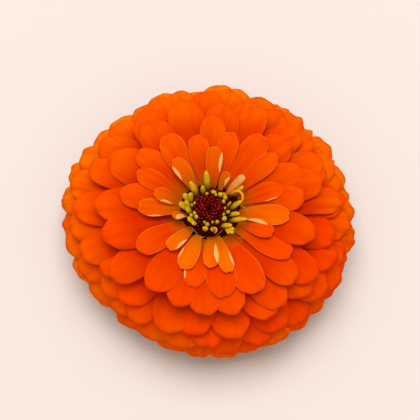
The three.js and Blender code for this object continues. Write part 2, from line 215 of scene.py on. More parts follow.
# number of ridges, and their depth against the radius
STEM_RIDGES = (12, 0.012)
corners, faces, along = turned(STEM_HEIGHTS, STEM_RADII, 60, lobes=STEM_RIDGES)
make_piece(
    "stem_stub", corners, faces, stem_rind, "stem", corner_marks(along),
)

# ---------------------------------------------------------------------------
# Involucre
# A cup of green bracts, each a rounded leathery scale with a dark thin margin, that
# overlap like roof tiles. They grow from the swollen end of the stem and clasp the head.

# degrees from each bract, petal or scale to the next one of its spiral
GOLDEN_ANGLE = 137.50776
# the head is a little less deep than wide
DEPTH_SHARE = 0.935
OVAL = np.array([1, DEPTH_SHARE, 1])


def closed_sheets(top, thickness):
    """Thin closed solids from upper faces shaped (sheet, row, column, 3), in mm.

    The lower face is the upper one moved against its normal by the thickness, and a strip
    of faces round the four sides joins the two. Returns the corners and the faces of all
    sheets, and which faces are smooth: all but the strip, whose edges are sharp.
    """
    normal = np.cross(np.gradient(top, axis=1), np.gradient(top, axis=2))
    normal /= np.maximum(np.linalg.norm(normal, axis=-1, keepdims=True), 1e-9)
    low = top - normal * thickness
    sheets, rows, columns, _ = top.shape
    grid = np.arange(rows * columns).reshape(rows, columns)
    quads = np.stack([grid[:-1, :-1], grid[1:, :-1], grid[1:, 1:], grid[:-1, 1:]], -1)
    quads = quads.reshape(-1, 4)
    rim = np.concatenate([grid[:, 0], grid[-1, 1:], grid[-2::-1, -1], grid[0, -2::-1]])
    under = rows * columns
    strip = np.stack([rim[:-1], rim[:-1] + under, rim[1:] + under, rim[1:]], -1)
    one = np.concatenate([quads, quads[:, ::-1] + under, strip])
    corners = np.concatenate([top, low], 1).reshape(-1, 3)
    faces = (one[None] + 2 * under * np.arange(sheets)[:, None, None]).reshape(-1, 4)
    smooth = np.tile(np.arange(len(one)) < 2 * len(quads), sheets)
    return corners, faces.tolist(), smooth


def blade_surface(blades, along, across, raised=0.0):
    """Upper faces of leaf-shaped blades at places along (0 to 1) and across (-1 to 1), in mm.

    The mid-line is a cubic curve in the plane of radius and height, from the root to the
    tip, with handles of 0.38 of their distance. Half width: a smooth step from a claw of
    0.42 to 1 at the widest place, then 0.85 at the tip, plus a slow uneven wave. The end is
    rounded, pointed, notched and made uneven by drawing each point back along the mid-line
    by powers, a bell and a sine of its place across. Lift off the mid-line: -camber x half
    width x across squared, plus a tilt that grows along, two furrows, a ruffle that grows
    to the margins, lengthwise crumples, a curl at the tip and `raised`. Returns the points,
    and the mm from the mid-line, from the root and to the tip.
    """
    def of(key):
        return np.array([blade.get(key, 0.0) for blade in blades], float)[:, None, None]

    width, azimuth = of("width"), np.radians(of("azimuth"))
    root = np.array([blade["root"] for blade in blades], float)[:, None, None, :]
    tip = np.array([blade["tip"] for blade in blades], float)[:, None, None, :]
    length = np.linalg.norm(tip - root, axis=-1)
    widest = np.maximum(0.5, 1 - 0.625 * width / length)
    edge = np.abs(across)

    drawn_back = (0.27 + of("point")) * width / length * edge ** (2.3 - of("point")) * along ** 3
    drawn_back += of("notch") / length * np.exp(-(across / 0.16) ** 2) * along ** 8
    drawn_back += of("uneven") / length * np.sin(5 * across + 3 * of("phase")) * along ** 4
    s = along - drawn_back
    leave, arrive = np.radians(of("root_slope")), np.radians(of("tip_slope"))
    pull = 0.38 * length
    p1 = root + np.stack([pull * np.cos(leave), pull * np.sin(leave)], -1)
    p2 = tip - np.stack([pull * np.cos(arrive), pull * np.sin(arrive)], -1)
    t = s[..., None]
    middle = (1 - t) ** 3 * root + 3 * (1 - t) ** 2 * t * p1 + 3 * (1 - t) * t * t * p2 + t ** 3 * tip
    ahead = 3 * (1 - t) ** 2 * (p1 - root) + 6 * (1 - t) * t * (p2 - p1) + 3 * t * t * (tip - p2)
    ahead /= np.linalg.norm(ahead, axis=-1, keepdims=True)

    x = np.clip(along / widest, 0, 1)
    past = np.clip((along - widest) / (1 - widest), 0, 1)
    half = width / 2 * (0.42 + 0.58 * (x * x * (3 - 2 * x)) ** 0.8) * (1 - 0.15 * past ** 2)
    half = half + 0.6 * of("uneven") * np.sin(9 * along + of("phase") + 2 * np.sign(across)) * x
    lift = half * (np.tan(np.radians(of("tilt"))) * across * along - of("camber") * across ** 2)
    furrows = np.exp(-((across - 0.36) / 0.15) ** 2) + np.exp(-((across + 0.38) / 0.13) ** 2)
    lift -= of("furrow") * furrows * np.sin(math.pi * np.clip(along, 0, 1)) ** 0.7
    wave = np.sin(2 * math.pi * (1.6 * along + 0.35 * across) + of("phase"))
    lift += of("ruffle") * wave * edge ** 2 * along ** 2
    lift += 0.5 * of("ruffle") * np.sin(5 * along + 2 * of("phase")) * along
    lift += of("crumple") * np.sin(8 * across + 4 * along + of("phase")) * along ** 2
    lift += of("curl") * half * past ** 2 + raised

    aside = half * across + of("bend") * length * s ** 2
    radius = middle[..., 0] - ahead[..., 1] * lift
    points = np.stack([
        radius * np.cos(azimuth) - aside * np.sin(azimuth),
        radius * np.sin(azimuth) + aside * np.cos(azimuth),
        middle[..., 1] + ahead[..., 0] * lift,
    ], -1)
    return points * OVAL, half * across, length * s, length * (1 - s)


def blade_grid(rows, columns):
    """Places along and across of a blade's grid, closer together at the tip and margins."""
    along = np.linspace(0, 1, rows)[None, :, None] ** 0.9
    across = np.linspace(-1, 1, columns)[None, None, :]
    return along, np.sign(across) * np.abs(across) ** 0.8


# bract_leather: tough dull green skin with darker spots, that dries to a thin brown margin
bract_leather = new_material("bract_leather")
bract_green = add_node(bract_leather, "ShaderNodeValToRGB", {0: read_marks(bract_leather)[0]}, stops=(
    (0.0, "6E9440"), (0.55, "5B8035"), (0.86, "486428"), (0.93, "2E2A18"), (1.0, "241A12"),
)).outputs[0]
bract_colour, bract_relief = add_mottle(bract_leather, bract_green, "3E5A26", 1.2, 0.6)
finish_material(bract_leather, {
    "Base Color": bract_colour, "Roughness": 0.65, "Normal": bract_relief,
})

CUP_RADIUS = 12
CUP_BOTTOM = 6.5
BRACTS = 40
BRACT_THICKNESS = 0.45
bracts = []
for n in range(BRACTS):
    share = n / (BRACTS - 1)
    bracts.append(dict(
        azimuth=n * GOLDEN_ANGLE, width=6.5 + 1.5 * share,
        root=(4.5, CUP_BOTTOM + 1 + 1.5 * share),
        tip=(CUP_RADIUS * (0.84 + 0.16 * share) + 0.6 * (n % 2), CUP_BOTTOM + 3 + 7 * share),
        root_slope=-4 + 4 * share, tip_slope=70 + 8 * share, camber=-0.3, curl=-0.1,
    ))
along, across = blade_grid(12, 9)
top, _, _, _ = blade_surface(bracts, along, across)
corners, faces, smooth = closed_sheets(top[:, :, ::-1], BRACT_THICKNESS)
rim_share = np.broadcast_to(np.maximum(np.abs(across), 0.9 * along), top.shape[:3])
rim_share = np.concatenate([rim_share, rim_share], 1).ravel()
make_piece(
    "bracts", corners, faces, bract_leather, "involucre",
    corner_marks(rim_share), smooth,
)

# the cup that the bracts stand on: heights over the floor and the radius at each
CUP_HEIGHTS = (CUP_BOTTOM, CUP_BOTTOM, 6.55, 6.8, 7.4, 8.4, 9.6, 11, 13, 15.5, 18.2, 18.2)
CUP_RADII = (0.02, 4.4, 5.4, 6.4, 7.2, 7.9, 8.6, 9.2, 9.8, 10.4, 10.8, 0.02)
corners, faces, along = turned(CUP_HEIGHTS, CUP_RADII, 48, DEPTH_SHARE)
make_piece(
    "cup", corners, faces, bract_leather, "involucre",
    corner_marks(0.5 * along),
)

# ---------------------------------------------------------------------------
# Ray petals
# The orange tongues of a double zinnia are thin living tissue, each grown from the
# receptacle on a narrow claw. The outer ones overlap in a spiral, with their tips on a
# flattened globe. The last to open are narrow and stand round the disc.

PETAL_THICKNESS = 0.14
SEED = 20261
RAY_COUNT = 150
FIRST_AZIMUTH = 20
EQUATOR_RADIUS = 50.7
EQUATOR_HEIGHT = 15
GLOBE_RISE = 30.5
GLOBE_DROP = 23
TOP_LATITUDE = 35
LOW_LATITUDE = -38
LOWEST_TIP = 1.2
RAY_WIDTH = 12
# how much wider the petals of the equator are
RAY_WIDTH_SWELL = 2.6
# how far the outer tips turn down, in degrees
TIP_DROOP = 60
# where the outline is fuller or flatter than round: azimuth, half breadth and share
SWELLS = (
    (18, 16, -0.03), (92, 50, 0.025), (122, 12, -0.015), (165, 24, 0.045), (190, 10, -0.01),
    (232, 40, -0.055), (270, 50, 0.012), (302, 14, 0.012), (335, 12, -0.02),
)
# azimuths towards which the older and the youngest petals take the most painted light, and a
# patch of more painted light on the older ones than on their neighbours: azimuth, half
# breadth and amount
LIT_SIDE = 105
YOUNG_LIT_SIDE = 265
LIT_PATCHES = ((24, 28, 0.45),)
# where the older petals are pleated: azimuth and depth in mm, for 16 degrees each way
PLEATS = ((44, 0.7), (168, 0.4), (356, 0.45))
PLEAT_BREADTH = 16
LEAST_PLEAT = 0.12
# three low petals lie on the floor and carry the head
FOOT_AZIMUTHS = (30, 150, 270)
FOOT_REACH = 41
# inner rays: azimuth, reach, width and rank; each rank has its tip height and slope, but
# for rank 3, whose tips lie on the globe
INNER_RAYS = (
    (17, 25, 6.6, 1), (39, 28.5, 6.8, 1), (55, 31, 8.9, 1), (64, 13.5, 3.1, -1),
    (74, 28, 7.1, 1), (84, 21.5, 5.5, 0), (87, 33, 8.9, 2), (100, 26, 6.8, 1),
    (120, 29.5, 8.9, 1), (123, 20.5, 5.5, 0), (139, 30.5, 8.6, 2), (153, 26.5, 7, 1),
    (165, 18.5, 4.9, 0), (180, 23, 6.4, 0), (196, 12.5, 3, -1), (213, 27.5, 8.6, 1),
    (228, 20, 5, 0), (249, 23.5, 6.3, 0), (259, 28.5, 7.2, 1), (272, 21.5, 5, 0),
    (279, 32, 9.9, 1), (285, 24, 4.8, 0), (296, 33.5, 10.6, 1), (327, 31, 8.9, 1),
    (336, 22.5, 5.8, 1), (352, 26, 7.6, 0), (8, 31, 10.5, 2), (25, 33, 10.5, 2),
    (170, 29.5, 9.5, 2), (238, 34.5, 11.4, 2), (15, 38.5, 12, 3), (27, 41.7, 11.5, 3),
    (45, 36, 11.5, 3), (46, 42.5, 12.5, 3), (66, 41.5, 11, 3), (83, 38, 12, 3),
    (103, 41, 13, 3), (124, 38, 12.5, 3), (150, 38, 13, 3), (178, 37.5, 12.5, 3),
    (198, 36, 13.5, 3), (218, 40, 12, 3), (253, 36, 10.5, 3), (268, 37.5, 11.5, 3),
    (282, 38, 10.5, 3), (304, 41.4, 11.5, 3), (317, 37.8, 10.5, 3), (325, 42, 11.5, 3),
    (345, 35.5, 11.5, 3), (5, 44.4, 10, 3),
)
RANKS = {-1: (38, 20), 0: (38.6, 12), 1: (38.2, 2), 2: (38.1, 0)}
GLOBE_LIFT = 0.8
# inner rays turned on their mid-line, in degrees by azimuth: 66 and 83 lean together to a
# deep fold, and the others dip one margin under the next petal
TURNED = {66: -30, 83: 16, 352: -10, 327: -10}
# azimuth of the one inner ray that is as ripe as the outer ones
RIPE_RAY = 5
# radius, height and slope of each rank's roots
ROOTS = {
    -1: (7.4, 34, 40), 0: (9.2, 31.5, 48), 1: (9.8, 30.5, 42), 2: (9.8, 30.2, 41),
    3: (9.8, 29, 40),
}
# where the roots stand further in: azimuth, half breadth and mm
ROOT_SHIFTS = ((90, 90, 1.5), (217, 30, 1.6))


def seeded_draws(state):
    """Endless random numbers between 0 and 1, by the Park-Miller rule."""
    while True:
        state = state * 16807 % 2147483647
        yield state / 2147483647


def degrees_between(azimuth, middle):
    """The smaller turn from one azimuth to another, in degrees."""
    return abs((azimuth - middle + 180) % 360 - 180)


def bumps(azimuth, rows):
    """Sum of bumps amount x cos squared, from rows of middle, half breadth and amount."""
    total = 0.0
    for middle, breadth, amount in rows:
        away = degrees_between(azimuth, middle)
        if away < breadth:
            total += amount * math.cos(math.pi * away / breadth / 2) ** 2
    return total


def ray_petals():
    """The inner rays, which are placed one by one, and those of the outer whorls.

    The outer ones follow the golden angle, with their tips on the flattened globe from
    its top down to its lowest whorl. Age runs from 0 at the disc to 1 at the lowest whorl,
    and tone from 0, the colour in painted shade, to 1, the colour in painted light; tone is
    a random share plus painted light by azimuth.
    """
    draws = seeded_draws(SEED)
    details = seeded_draws(SEED + 7)

    def spread(amount, source=draws):
        return amount * (2 * next(source) - 1)

    young, outer = [], []
    for azimuth, reach, width, rank in INNER_RAYS:
        globe = EQUATOR_HEIGHT + GLOBE_RISE * math.sqrt(1 - (reach / EQUATOR_RADIUS) ** 2)
        height, slope = RANKS.get(rank, (globe + GLOBE_LIFT, 37 - 1.2 * reach))
        root_radius, root_height, root_slope = ROOTS[rank]
        if 0 <= rank < 3:
            root_radius -= bumps(azimuth, ROOT_SHIFTS)
        young.append(dict(
            azimuth=azimuth, width=width, tip=(reach, height + spread(0.4)),
            tip_slope=slope + spread(5), root=(root_radius, root_height), root_slope=root_slope,
            camber=0.05 if rank < 2 else 0.16, tilt=spread(6),
            age=0.0 if rank < 1 else 0.05 + 0.05 * rank,
        ))
    for n in range(RAY_COUNT):
        share = (n + 0.5) / RAY_COUNT
        azimuth = FIRST_AZIMUTH + n * GOLDEN_ANGLE + spread(3)
        latitude = math.radians(TOP_LATITUDE + (LOW_LATITUDE - TOP_LATITUDE) * share)
        reach = EQUATOR_RADIUS * math.cos(latitude) * (1 + bumps(azimuth, SWELLS)) + spread(0.5)
        rise = GLOBE_RISE if latitude > 0 else GLOBE_DROP
        height = EQUATOR_HEIGHT + rise * math.sin(latitude) + spread(0.8)
        width = (RAY_WIDTH + RAY_WIDTH_SWELL * math.sin(math.pi * share)) * (1 + spread(0.08))
        tip_slope = -2 - TIP_DROOP * math.sin(1.96 * share) ** 1.5 + spread(6)
        outer.append(dict(
            azimuth=azimuth, width=1.06 * width, tip=(reach + 0.3, max(height, LOWEST_TIP)),
            tip_slope=tip_slope, root=(9 + 3 * share, 30 - 10 * share),
            root_slope=32 - 50 * share, camber=0.19, tilt=spread(7), age=0.2 + 0.8 * share,
        ))
    for azimuth in FOOT_AZIMUTHS:
        outer.append(dict(
            azimuth=azimuth, width=RAY_WIDTH, tip=(FOOT_REACH, 0.4), tip_slope=-12,
            root=(13, 17), root_slope=-30, age=1.0,
        ))
    for ray in young:
        ray["tilt"] = TURNED.get(ray["azimuth"], ray["tilt"])
        ray["age"] = 0.5 if ray["azimuth"] == RIPE_RAY else ray["age"]
    for ray in young + outer:
        azimuth, age = ray["azimuth"], ray["age"]
        # painted light: the share of lit colour by azimuth, towards one side for the older petals
        # with a brighter patch, and towards the opposite side for the youngest, which the light
        # shines through
        if age:
            ripeness_and_light = 0.4 + 0.8 * math.cos(math.radians(azimuth - LIT_SIDE))
            ripeness_and_light = min(max(ripeness_and_light + bumps(azimuth, LIT_PATCHES), 0.0), 1.0)
        else:
            ripeness_and_light = (0.5 + 0.5 * math.cos(math.radians(azimuth - YOUNG_LIT_SIDE))) ** 2
        pleat = LEAST_PLEAT
        for middle, depth in PLEATS:
            if degrees_between(azimuth, middle) < PLEAT_BREADTH and 0.15 < age < 0.8:
                pleat = depth
        # tone is a random share plus the painted light
        ray["tone"] = 0.45 * next(details) + 0.6 * ripeness_and_light
        ray["bend"] = spread(0.03, details)
        ray["ruffle"] = (0.15 + 0.5 * next(details)) * min(1.0, 4 * age)
        ray["crumple"] = pleat * min(1.0, 3 * age) * (0.5 + next(details))
        ray["uneven"] = 0.12 + 0.3 * next(details) * min(1.0, 3 * age)
        ray["phase"] = 2 * math.pi * next(details)
        ray["notch"] = 0.5 * next(details) ** 2
        ray["curl"] = spread(0.1, details) - 0.26 * age ** 0.5
        ray["furrow"] = (0.1 + 0.2 * next(details)) * (1 - 0.5 * age)
    return young, outer


def petal_material():
    """petal_tissue: living petal skin, matt velvety orange with fine veins.

    It has painted shade, a deeper red, where the next petal covers it, and shaded and lit
    copies of its orange by azimuth; a thin pale line of painted highlight on the margins of
    the young ones; ochre on the claws, and pale underneath.
    """
    m = new_material("petal_tissue")
    blade = add_node(m, "ShaderNodeAttribute", attribute_name="blade")
    _, from_root, to_tip = read_marks(m, "blade")
    tone, age, pale = read_marks(m, "kind")
    edge = read_marks(m, "rim")[0]

    # from ochre orange round the disc to red orange, and from a copy in painted shade to a copy
    # in painted light, by tone
    fresh_and_shaded = add_node(m, "ShaderNodeValToRGB", {0: age}, stops=(
        (0.0, "EE5A00"), (0.08, "F24800"), (0.25, "F84000"), (0.6, "FC4C00"), (1.0, "F84000"),
    ))
    ripeness_and_light = add_node(m, "ShaderNodeValToRGB", {0: age}, stops=(
        (0.0, "F27200"), (0.08, "F85800"), (0.25, "FC6200"), (0.6, "FC8C00"), (1.0, "FC6C00"),
    ))
    toned = add_node(m, "ShaderNodeMix", {
        0: tone, 6: fresh_and_shaded.outputs[0], 7: ripeness_and_light.outputs[0],
    }, data_type="RGBA")

    # veins: streaks 0.6 mm apart and 11 mm long, in clouds 2.4 mm wide and 10 mm long
    own = add_node(m, "ShaderNodeMath", {0: tone, 1: 40.0}, operation="MULTIPLY")
    stretched = add_node(m, "ShaderNodeVectorMath", {
        0: blade.outputs["Vector"], 1: (1.7, 0.09, 0.0),
    }, operation="MULTIPLY")
    veins = add_node(m, "ShaderNodeTexNoise", {
        "Vector": stretched.outputs[0], "W": own.outputs[0], "Scale": 1.0, "Detail": 3.0,
        "Roughness": 0.6,
    }, noise_dimensions="4D")
    broad = add_node(m, "ShaderNodeVectorMath", {
        0: blade.outputs["Vector"], 1: (0.42, 0.1, 0.0),
    }, operation="MULTIPLY")
    clouds = add_node(m, "ShaderNodeTexNoise", {
        "Vector": broad.outputs[0], "W": own.outputs[0], "Scale": 1.0, "Detail": 2.0,
    }, noise_dimensions="4D")
    both = add_node(m, "ShaderNodeMath", {
        0: veins.outputs[0], 1: 0.55, 2: clouds.outputs[0],
    }, operation="MULTIPLY_ADD")
    vein_share = add_node(m, "ShaderNodeMapRange", {
        0: both.outputs[0], 1: 0.68, 2: 1.02, 3: 0.0, 4: 0.5,
    })
    veined = add_node(m, "ShaderNodeMix", {
        0: vein_share.outputs[0], 6: toned.outputs[2], 7: linear("EA3000"),
    }, data_type="RGBA")

    # painted shade, redder away from the tip on older petals where the next petal covers them,
    # and ochre on the claws of the young ones
    covered_shade = add_node(m, "ShaderNodeMapRange", {
        0: to_tip, 1: 3.0, 2: 11.0, 3: 0.0, 4: 0.85,
    })
    older = add_node(m, "ShaderNodeMapRange", {0: age, 1: 0.06, 2: 0.22, 3: 0.15, 4: 1.0})
    covered = add_node(m, "ShaderNodeMath", {
        0: covered_shade.outputs[0], 1: older.outputs[0],
    }, operation="MULTIPLY")
    shaded_under_cover = add_node(m, "ShaderNodeMix", {
        0: covered.outputs[0], 6: veined.outputs[2], 7: linear("D02600"),
    }, data_type="RGBA")
    depth = add_node(m, "ShaderNodeMapRange", {
        0: from_root, 1: 0.5, 2: 8.0, 3: 0.75, 4: 0.0,
    })
    deep = add_node(m, "ShaderNodeMix", {
        0: depth.outputs[0], 6: shaded_under_cover.outputs[2], 7: linear("C87400"),
    }, data_type="RGBA")

    # a painted highlight as a thin pale line on the margin of the young ones, and a pale underside
    margin = add_node(m, "ShaderNodeMapRange", {0: edge, 1: 0.88, 2: 1.0, 3: 0.0, 4: 0.85})
    younger = add_node(m, "ShaderNodeMapRange", {0: age, 1: 0.0, 2: 0.15, 3: 1.0, 4: 0.15})
    rim_highlight = add_node(m, "ShaderNodeMath", {
        0: margin.outputs[0], 1: younger.outputs[0],
    }, operation="MULTIPLY")
    rim_highlighted = add_node(m, "ShaderNodeMix", {
        0: rim_highlight.outputs[0], 6: deep.outputs[2], 7: linear("FF9238"),
    }, data_type="RGBA")
    under = add_node(m, "ShaderNodeMix", {
        0: pale, 6: rim_highlighted.outputs[2], 7: linear("FFB866"),
    }, data_type="RGBA")
    relief = add_node(m, "ShaderNodeBump", {
        "Strength": 0.3, "Distance": 0.15 * MM, "Height": both.outputs[0],
    })
    finish_material(m, {
        "Base Color": under.outputs[2], "Roughness": 0.6, "Specular IOR Level": 0.0,
        "Normal": relief.outputs[0],
    })
    return m


def ray_piece(name, rays, surface, edge, thickness, pale):
    """One piece of closed ray sheets.

    `edge` is the share of the way to the margin, and `pale` how much the upper and the
    lower face have of the colour of the underside.
    """
    points, *distances = surface
    corners, faces, smooth = closed_sheets(points, thickness)
    flat = np.ones(points.shape[:3])
    tone = np.array([ray["tone"] for ray in rays])[:, None, None]
    age = np.array([ray["age"] for ray in rays])[:, None, None]

    def both_faces(upper, lower):
        stacks = [np.stack([value * flat for value in face], -1) for face in (upper, lower)]
        return np.stack([stack.reshape(len(rays), -1, 3) for stack in stacks], 1)

    make_piece(name, corners, faces, petal_tissue, "ray_petals", {
        "blade": both_faces(distances, distances),
        "kind": both_faces((tone, age, pale[0]), (tone, age, pale[1])),
        "rim": both_faces((edge, 0, 0), (edge, 0, 0)),
    }, smooth)


petal_tissue = petal_material()
young_rays, outer_rays = ray_petals()
LAYER = RAY_COUNT // 3
along, across = blade_grid(24, 15)
for name, rays in (
    ("lower_rays", outer_rays[2 * LAYER:]), ("middle_rays", outer_rays[LAYER:2 * LAYER]),
    ("upper_rays", outer_rays[:LAYER]),
):
    surface = blade_surface(rays, along, across)
    # the low ones are pressed flat just clear of the floor
    surface[0][..., 2] = np.maximum(surface[0][..., 2], PETAL_THICKNESS + 0.04)
    ray_piece(name, rays, surface, 0.0, PETAL_THICKNESS, (0.0, 0.05))

along, across = blade_grid(28, 17)
surface = blade_surface(young_rays, along, across)
# share of the way to the margin, where the pale line of painted highlight goes
margin = np.maximum(np.abs(across), along ** 8)
ray_piece("young_rays", young_rays, surface, margin, PETAL_THICKNESS, (0.0, 0.1))

# ---------------------------------------------------------------------------
# Rolled margins
# Some of the young petals are not quite flat yet. One margin is rolled over on the upper
# face, and shows the pale underside of the same tissue as a slim stripe.

# azimuth of the ray: side (1 is anticlockwise), start and end along the ray, and the most
# of the half width that the roll covers
ROLLED = {
    84: (-1, 0.4, 0.97, 0.42), 123: (1, 0.45, 0.95, 0.4), 165: (1, 0.35, 0.85, 0.4),
    180: (1, 0.5, 0.9, 0.14), 64: (-1, 0.3, 0.92, 0.7), 196: (1, 0.1, 0.97, 1.3),
    228: (1, 0.5, 0.97, 0.42), 249: (-1, 0.5, 0.9, 0.2), 272: (1, 0.3, 0.97, 0.62),
    285: (1, 0.55, 0.97, 0.32), 259: (-1, 0.75, 0.97, 0.2), 352: (-1, 0.22, 0.7, 0.4),
    17: (-1, 0.6, 0.92, 0.1),
}
ROLL_HEIGHT = 0.36
ROLL_THICKNESS = 0.22
rolled_rays = [ray for ray in young_rays if ray["azimuth"] in ROLLED]
side, start, end, depth = (
    np.array([ROLLED[ray["azimuth"]][k] for ray in rolled_rays])[:, None, None] for k in range(4)
)
stretch = np.linspace(0, 1, 20)[None, :, None]
inward = np.linspace(0, 1, 8)[None, None, :]
inward = np.where(side > 0, 1 - inward, inward)
covered = 0.03 + depth * np.sin(math.pi * stretch) ** 0.8
across = side * (1.02 - covered * inward)
# the roll rises steeply from the margin and lies almost level, and tapers to its ends
raised = ROLL_HEIGHT * (1 - (1 - inward) ** 5) * np.clip(covered / 0.12, 0, 1)
surface = blade_surface(rolled_rays, start + (end - start) * stretch, across, raised)
ray_piece("rolled_margins", rolled_rays, surface, 0 * inward, ROLL_THICKNESS, (1.0, 0.0))

# ---------------------------------------------------------------------------
# Disc chaff
# Stiff dry maroon scales, one under each floret, pointed and folded lengthwise. They grow
# on the receptacle in the golden-angle spiral and close over the youngest florets.

SCALES = 250
SCALE_THICKNESS = 0.12
SCALE_LENGTH = 3.2
DISC_RADIUS = 9.4
DISC_TOP = 36.1
chaff_draws = seeded_draws(SEED + 11)
draws = np.array([next(chaff_draws) for _ in range(4 * SCALES)])
size, lean, tone, turn = draws.reshape(4, SCALES)
azimuth = np.arange(SCALES) * GOLDEN_ANGLE + 6 * turn
# evenly spread over the disc, whose far side is nearer to the axis
reach = DISC_RADIUS * np.sqrt((np.arange(SCALES) + 0.7) / SCALES)
reach *= 1 - 0.2 * np.maximum(0, np.sin(np.radians(azimuth))) ** 2 * (reach > 5)
# the tips lie on a low dome that falls off at its rim and has a small dip in the middle
tip_height = DISC_TOP - 0.9 * np.exp(-(reach / 0.8) ** 2) - 0.045 * reach ** 2 + 0.5 * size
tip_height -= 0.7 * np.maximum(reach - 7.2, 0) ** 2
scales = [
    dict(
        azimuth=azimuth[n], width=1.15 + 0.35 * size[n],
        root=(max(reach[n] - 0.5, 0.05), tip_height[n] - SCALE_LENGTH),
        tip=(reach[n] + 0.5 + 0.6 * lean[n], tip_height[n]),
        root_slope=88, tip_slope=50 - 2 * reach[n] - 25 * lean[n], camber=-0.6, point=0.6,
    ) for n in range(SCALES)
]
along, across = blade_grid(6, 5)
top, _, _, _ = blade_surface(scales, along, across)
corners, faces, smooth = closed_sheets(top, SCALE_THICKNESS)
along = np.broadcast_to(along, top.shape[:3])
along = np.concatenate([along, along], 1).ravel()

# chaff_husk: dry papery husk, dark maroon, with painted shade to near black towards the root
# where it is deep among the scales, and red tips with a painted glint on some
chaff_husk = new_material("chaff_husk")
up_scale, scale_glow, _ = read_marks(chaff_husk)
dull = add_node(chaff_husk, "ShaderNodeValToRGB", {0: up_scale}, stops=(
    (0.0, "380000"), (0.5, "400200"), (0.8, "580A02"), (1.0, "701206"),
))
red_tips_and_glints = add_node(chaff_husk, "ShaderNodeValToRGB", {0: up_scale}, stops=(
    (0.0, "380000"), (0.45, "4C0302"), (0.75, "880C10"), (0.95, "A41414"), (1.0, "BC3024"),
))
husk = add_node(chaff_husk, "ShaderNodeMix", {
    0: scale_glow, 6: dull.outputs[0], 7: red_tips_and_glints.outputs[0],
}, data_type="RGBA")
finish_material(chaff_husk, {
    "Base Color": husk.outputs[2], "Roughness": 0.45, "Specular IOR Level": 0.05,
})
# bright scales are a random part of those inside 5.5 mm, but for the very middle
glow = np.clip(tone * 1.6 - 0.25, 0, 1) * np.clip((6.5 - reach) / 2, 0.1, 1)
glow *= np.clip((reach - 0.35) / 0.8, 0, 1)
make_piece(
    "chaff_scales", corners, faces, chaff_husk, "disc_chaff",
    corner_marks(along, glow), smooth,
)

# the tip of the receptacle under the scales: heights over the floor and the radius at each
PIT_HEIGHTS = (27, 27, 29, 30.5, 31.3, 31.8, 32, 32)
PIT_RADII = (0.02, 12, 11.5, 10.4, 9.6, 7, 3, 0.02)
corners, faces, along = turned(PIT_HEIGHTS, PIT_RADII, 40, DEPTH_SHARE)
# coloured with the near-black root end of the husk, which is painted shade
make_piece(
    "disc_floor", corners, faces, chaff_husk, "disc_chaff",
    corner_marks(0.3 * along),
)

# ---------------------------------------------------------------------------
# Young florets
# Fleshy lime buds and half-open straps, rooted on the receptacle between the chaff and the
# rays. Each is a club with a lobed end. The outermost start to turn orange, and one is
# rolled up and cream.

